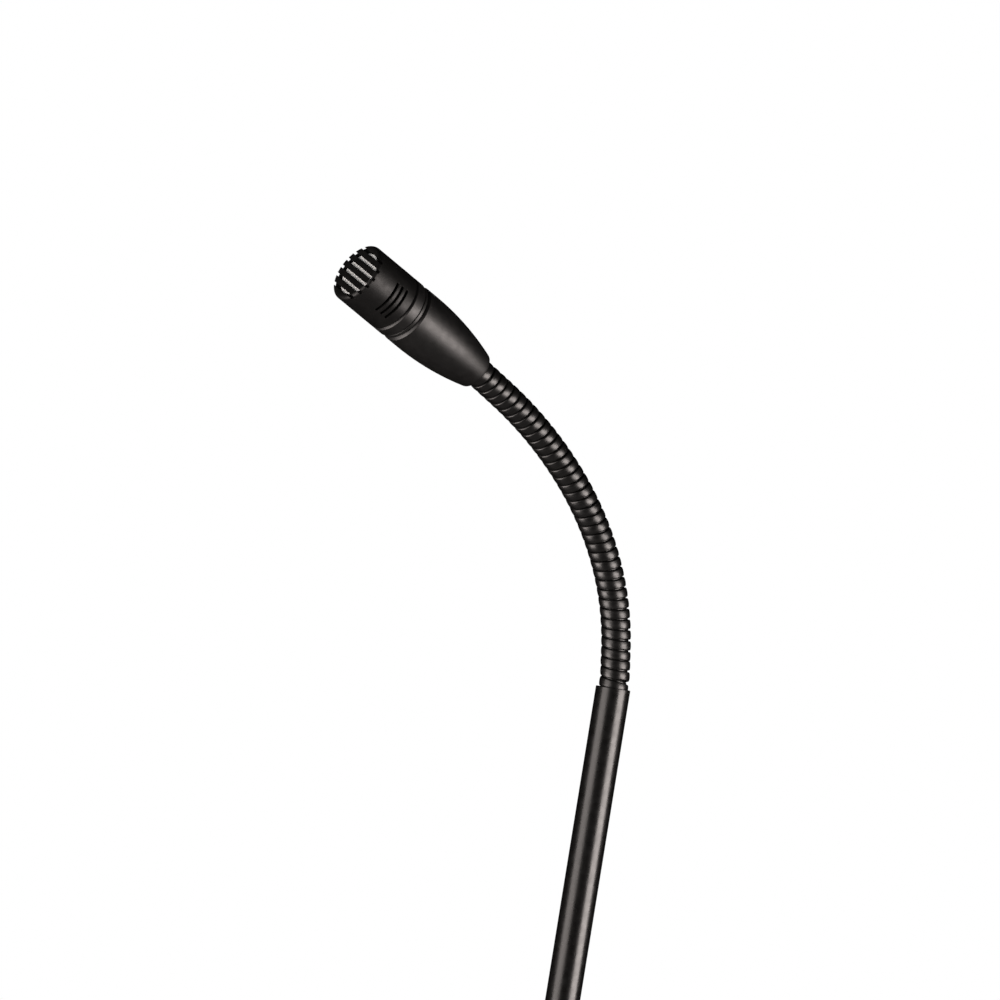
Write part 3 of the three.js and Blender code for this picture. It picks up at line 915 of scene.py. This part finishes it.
def make_stem():
    low, high, radius = span("stem_tube", AT_ORIGIN)
    bore = 3.8
    socket = 4.55
    socket_floor = high - 12
    outline = rounded([
        (bore, low),
        (radius, low, 0.2),
        (radius, high, 0.12),
        (socket, high, 0.08),
        (socket, socket_floor),
        (bore, socket_floor),
    ])
    obj = lathe("stem_outer_tube", outline, AT_ORIGIN, STEM_PAINT, 96)
    return place_piece(obj, STEM_BODY, "stem_metal", "stem_tube")


def arc(centre_radius, centre_z, radius, start, end, steps=8):
    """(radius, z) points of an arc, angles in degrees from the outward direction."""
    angles = [math.radians(start + (end - start) * i / steps) for i in range(steps + 1)]
    return [(centre_radius + radius * math.cos(a), centre_z + radius * math.sin(a)) for a in angles]


def rod_cutter(radius, length, place, sides=32):
    bm = lathe_bmesh([(0, 0), (radius, 0), (radius, length), (0, length)], sides, False)
    bm.transform(place)
    bmesh.ops.recalc_face_normals(bm, faces=bm.faces)
    return bm


def along_y(height):
    """Local frame whose +Z runs along +Y from the stem's axis at a height."""
    return Matrix.Translation((0, 0, height)) @ Matrix.Rotation(math.radians(-90), 4, "X")


def make_base_housing():
    low, high, radius = span("base_housing", AT_ORIGIN)
    nose_radius = 7.4
    nose_start = 36
    sleeve_top = 41
    sleeve_bottom = 28
    plug_bore_top = 26
    grub_hole_radius = 1.7
    nose = arc(nose_radius, nose_start, radius - nose_radius, 0, 60)
    outline = rounded([
        (PLUG_BORE, low, 0.15),
        (radius, low, 0.4),
        *nose,
        (nose_radius - 0.3, high, 0.7),
        (STEM_HOLE, high, 0.2),
        (STEM_HOLE, sleeve_top),
        (SLEEVE_BORE, sleeve_top),
        (SLEEVE_BORE, sleeve_bottom),
        (PLUG_BORE, plug_bore_top),
    ])
    bm = lathe_bmesh(outline, 144, True)
    housing = mesh_object("base_housing_turned", bm, AT_ORIGIN, [STEM_PAINT])
    cutter = rod_cutter(grub_hole_radius, 7, along_y(GRUB_HEIGHT) @ Matrix.Translation((0, 0, 6)))
    carve(housing, cutter, AT_ORIGIN)
    soften_edges(housing, 0.12)
    return place_piece(housing, STEM_BODY, "stem_metal", "base_housing")


def make_grub_screw():
    radius = 1.4
    inner = 7.6
    outer = 10.5
    socket_radius = 0.75
    socket_depth = 1.2
    outline = rounded([(0, inner), (radius, inner, 0.25), (radius, outer, 0.2), (0, outer)])
    bm = lathe_bmesh(outline, 48, False)
    place = AT_ORIGIN @ along_y(GRUB_HEIGHT)
    screw = mesh_object("stem_grub_screw_turned", bm, place, [STEEL])
    socket_place = Matrix.Translation((0, 0, outer - socket_depth))
    carve(screw, rod_cutter(socket_radius, 3, socket_place, 6), place)
    soften_edges(screw, 0.05)
    return place_piece(screw, STEM_BODY, "steel", "stem_grub_screw")


def make_grommet():
    low, high, radius = span("stem_grommet", AT_ORIGIN)
    outline = rounded([
        (STEM_HOLE, low, 0.15),
        (radius, low, 0.3),
        (radius, high, 1.0),
        (STEM_HOLE, high, 0.3),
    ], 8)
    grommet = lathe("stem_grommet_moulded", outline, AT_ORIGIN, RUBBER, 96)
    return place_piece(grommet, STEM_BODY, "black_rubber", "stem_grommet")


def box_cutter(width, thickness, height, centre):
    bm = bmesh.new()
    size = Matrix.Diagonal((width, thickness, height, 1))
    bmesh.ops.create_cube(bm, size=1, matrix=Matrix.Translation(centre) @ size)
    return bm


def make_plug_shell():
    low, high, radius = span("xlr_shell", AT_ORIGIN)
    outline = rounded([
        (SHELL_BORE, low, 0.3),
        (radius, low, 0.35),
        (radius, high, 0.2),
        (SHELL_BORE, high, 0.1),
    ], 6)
    shell = mesh_object("xlr_shell_turned", lathe_bmesh(outline, 144, True), AT_ORIGIN, [NICKEL])
    key_top = INSERT_FACE - 0.3
    key_bottom = low - 1
    key_centre = (0, SHELL_BORE, (key_top + key_bottom) / 2)
    carve(shell, box_cutter(2.4, 1.4, key_top - key_bottom, key_centre), AT_ORIGIN)
    latch_centre = (0, -radius, -8)
    carve(shell, box_cutter(5, 4, 2.6, latch_centre), AT_ORIGIN)
    soften_edges(shell, 0.1)
    return place_piece(shell, STEM_BODY, "contact_metal", "xlr_shell")


def make_plug_insert():
    low, high, radius = span("xlr_insert", AT_ORIGIN)
    outline = rounded([(0, low), (radius, low, 0.3), (radius, high, 0.2), (0, high)])
    insert = mesh_object("xlr_insert_moulded", lathe_bmesh(outline, 96, False), AT_ORIGIN, [INSULATOR])
    for node in PIN_NODES:
        centre = centre_of(node) / MM
        hole = rod_cutter(1.5, 8, Matrix.Translation((centre.x, centre.y, low - 2)))
        carve(insert, hole, AT_ORIGIN)
    soften_edges(insert, 0.08)
    return place_piece(insert, STEM_BODY, "insulator", "xlr_insert")


def make_plug_pins():
    for node in PIN_NODES:
        box_low, box_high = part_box(node)
        centre = (box_low + box_high) / 2
        radius = (box_high.x - box_low.x) / 2 / MM
        low = box_low.z / MM
        high = box_high.z / MM
        outline = rounded([(0, low), (radius, low, 0.8), (radius, high, 0.15), (0, high)], 6)
        place = placement(Vector((centre.x, centre.y, 0)), AXIS_Z)
        pin = lathe(f"{node}_turned", outline, place, NICKEL, 48, closed=False)
        place_piece(pin, STEM_BODY, "contact_metal", node)


make_stem()
make_base_housing()
make_grub_screw()
make_grommet()
make_plug_shell()
make_plug_insert()
make_plug_pins()

# ------------------------------------------------------------------ CAD nodes that stay

NODE_MATERIALS = {
    "neck_anchor": BRASS,
    "neck_ferrule": BRASS,
    "ferrule_nut": BRASS,
    "stem_sleeve": BRASS,
    "capsule_diaphragm": BRASS,
    "capsule_backplate": BRASS,
    "capsule_can": STEEL,
    "insert_retaining_ring": STEEL,
    "cable_crimp": STEEL,
    "head_capacitor": STEEL,
    "base_capacitor_1": STEEL,
    "base_capacitor_2": STEEL,
    "capsule_board": BOARD,
    "head_board": BOARD,
    "base_board": BOARD,
    "capsule_cage": INSULATOR,
    "pin_lead_1": WHITE_SLEEVE,
    "pin_lead_2": RED_SLEEVE,
    "pin_lead_3": INSULATOR,
    "capsule_lead_signal": RED_SLEEVE,
    "capsule_lead_ground": WHITE_SLEEVE,
}

for node, material in NODE_MATERIALS.items():
    for slot in frame["nodes"][node].material_slots:
        slot.material = material

# ------------------------------------------------------------------ stage, light and camera

VIEW_AZIMUTH = math.radians(54)  # how far round the stem the camera stands from the -Y side
LEAN = math.radians(9.2)  # how far the stem leans to the right in the picture
PICTURE_WIDTH = 298.6  # of the object's plane that the picture shows
RIM_RIGHT = 33.79  # from the picture's middle to the stem's rim, to the right
RIM_DOWN = 56.15  # and downward
CAMERA_DISTANCE = 3.0
SENSOR = 36.0
FLOOR_RADIUS = 1.7
GLOSSY_SURROUND = 0.004
SOFTBOX_COLOUR = (1.0, 0.91, 0.87)
DIFFUSE_SURROUND = 0.7


def camera_axes():
    """Unit vectors to the picture's right, up, and toward the camera."""
    toward = Vector((math.sin(VIEW_AZIMUTH), -math.cos(VIEW_AZIMUTH), 0))
    level = Vector((math.cos(VIEW_AZIMUTH), math.sin(VIEW_AZIMUTH), 0))
    right = math.cos(LEAN) * level + math.sin(LEAN) * AXIS_Z
    up = toward.cross(right)
    return right, up, toward


def make_camera():
    right, up, toward = camera_axes()
    target = NECK_START + (-RIM_RIGHT * right + RIM_DOWN * up) * MM
    data = bpy.data.cameras.new("camera")
    data.sensor_width = SENSOR
    data.lens = SENSOR * CAMERA_DISTANCE / (PICTURE_WIDTH * MM)
    data.clip_start = 0.05
    data.clip_end = 50
    camera = bpy.data.objects.new("camera", data)
    bpy.context.scene.collection.objects.link(camera)
    turn = Matrix((right, up, toward)).transposed().to_4x4()
    camera.matrix_world = Matrix.Translation(target + toward * CAMERA_DISTANCE) @ turn
    bpy.context.scene.camera = camera


def make_softbox(name, azimuth, elevation, distance, width, height, radiance):
    """A warm area light aimed at the neck, azimuth in degrees to the right of the camera."""
    data = bpy.data.lights.new(name, "AREA")
    data.shape = "RECTANGLE"
    data.size = width
    data.size_y = height
    data.energy = radiance * math.pi * width * height
    data.color = SOFTBOX_COLOUR
    light = bpy.data.objects.new(name, data)
    bpy.context.scene.collection.objects.link(light)
    turn = VIEW_AZIMUTH + math.radians(azimuth)
    lift = math.radians(elevation)
    level = Vector((math.sin(turn), -math.cos(turn), 0))
    toward = math.cos(lift) * level + math.sin(lift) * AXIS_Z
    aim = (NECK_START + HEAD_REAR) / 2
    light.location = aim + toward * distance
    light.rotation_mode = "QUATERNION"
    light.rotation_quaternion = toward.to_track_quat("Z", "Y")
    light.visible_camera = False
    return light


def make_world():
    """White to the camera, bright to diffuse rays and dim to reflections, as a lit backdrop is."""
    world = bpy.data.worlds.new("world")
    world.use_nodes = True
    bpy.context.scene.world = world
    tree = world.node_tree
    background = tree.nodes["Background"]
    path = tree.nodes.new("ShaderNodeLightPath")
    diffuse_or_glossy = tree.nodes.new("ShaderNodeMix")
    diffuse_or_glossy.inputs[2].default_value = GLOSSY_SURROUND
    diffuse_or_glossy.inputs[3].default_value = DIFFUSE_SURROUND
    tree.links.new(path.outputs["Is Diffuse Ray"], diffuse_or_glossy.inputs["Factor"])
    camera_or_other = tree.nodes.new("ShaderNodeMix")
    camera_or_other.inputs[3].default_value = 1
    tree.links.new(diffuse_or_glossy.outputs[0], camera_or_other.inputs[2])
    tree.links.new(path.outputs["Is Camera Ray"], camera_or_other.inputs["Factor"])
    tree.links.new(camera_or_other.outputs[0], background.inputs["Strength"])
    background.inputs["Color"].default_value = (1, 1, 1, 1)


def make_floor():
    floor_shader = Shader("pale_floor", (0.85, 0.85, 0.84), 0.7)
    floor_shader.vary_colour(floor_shader.noise(6, 3), (0.84, 0.84, 0.83), (0.87, 0.87, 0.86))
    bm = bmesh.new()
    bmesh.ops.create_circle(bm, cap_ends=True, segments=96, radius=FLOOR_RADIUS / MM)
    place = Matrix.Translation((0, 0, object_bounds()[0].z)) @ Matrix.Scale(MM, 4)
    floor = mesh_object("floor", bm, place, [floor_shader.material])
    floor.visible_glossy = False
    floor.visible_shadow = False  # the low softboxes reach under it


make_camera()
make_softbox("right_softbox", 65, -8, 1.2, 0.9, 0.55, 12.2)
make_softbox("left_softbox", -52, 3, 1.2, 1.0, 0.75, 4.1)
make_softbox("left_low_softbox", -62, -31, 1.2, 0.8, 0.6, 9.5)
make_softbox("low_softbox", 0, -75, 1.3, 1.6, 1.6, 0.15)
make_world()
make_floor()
bpy.context.scene.view_settings.view_transform = "Standard"
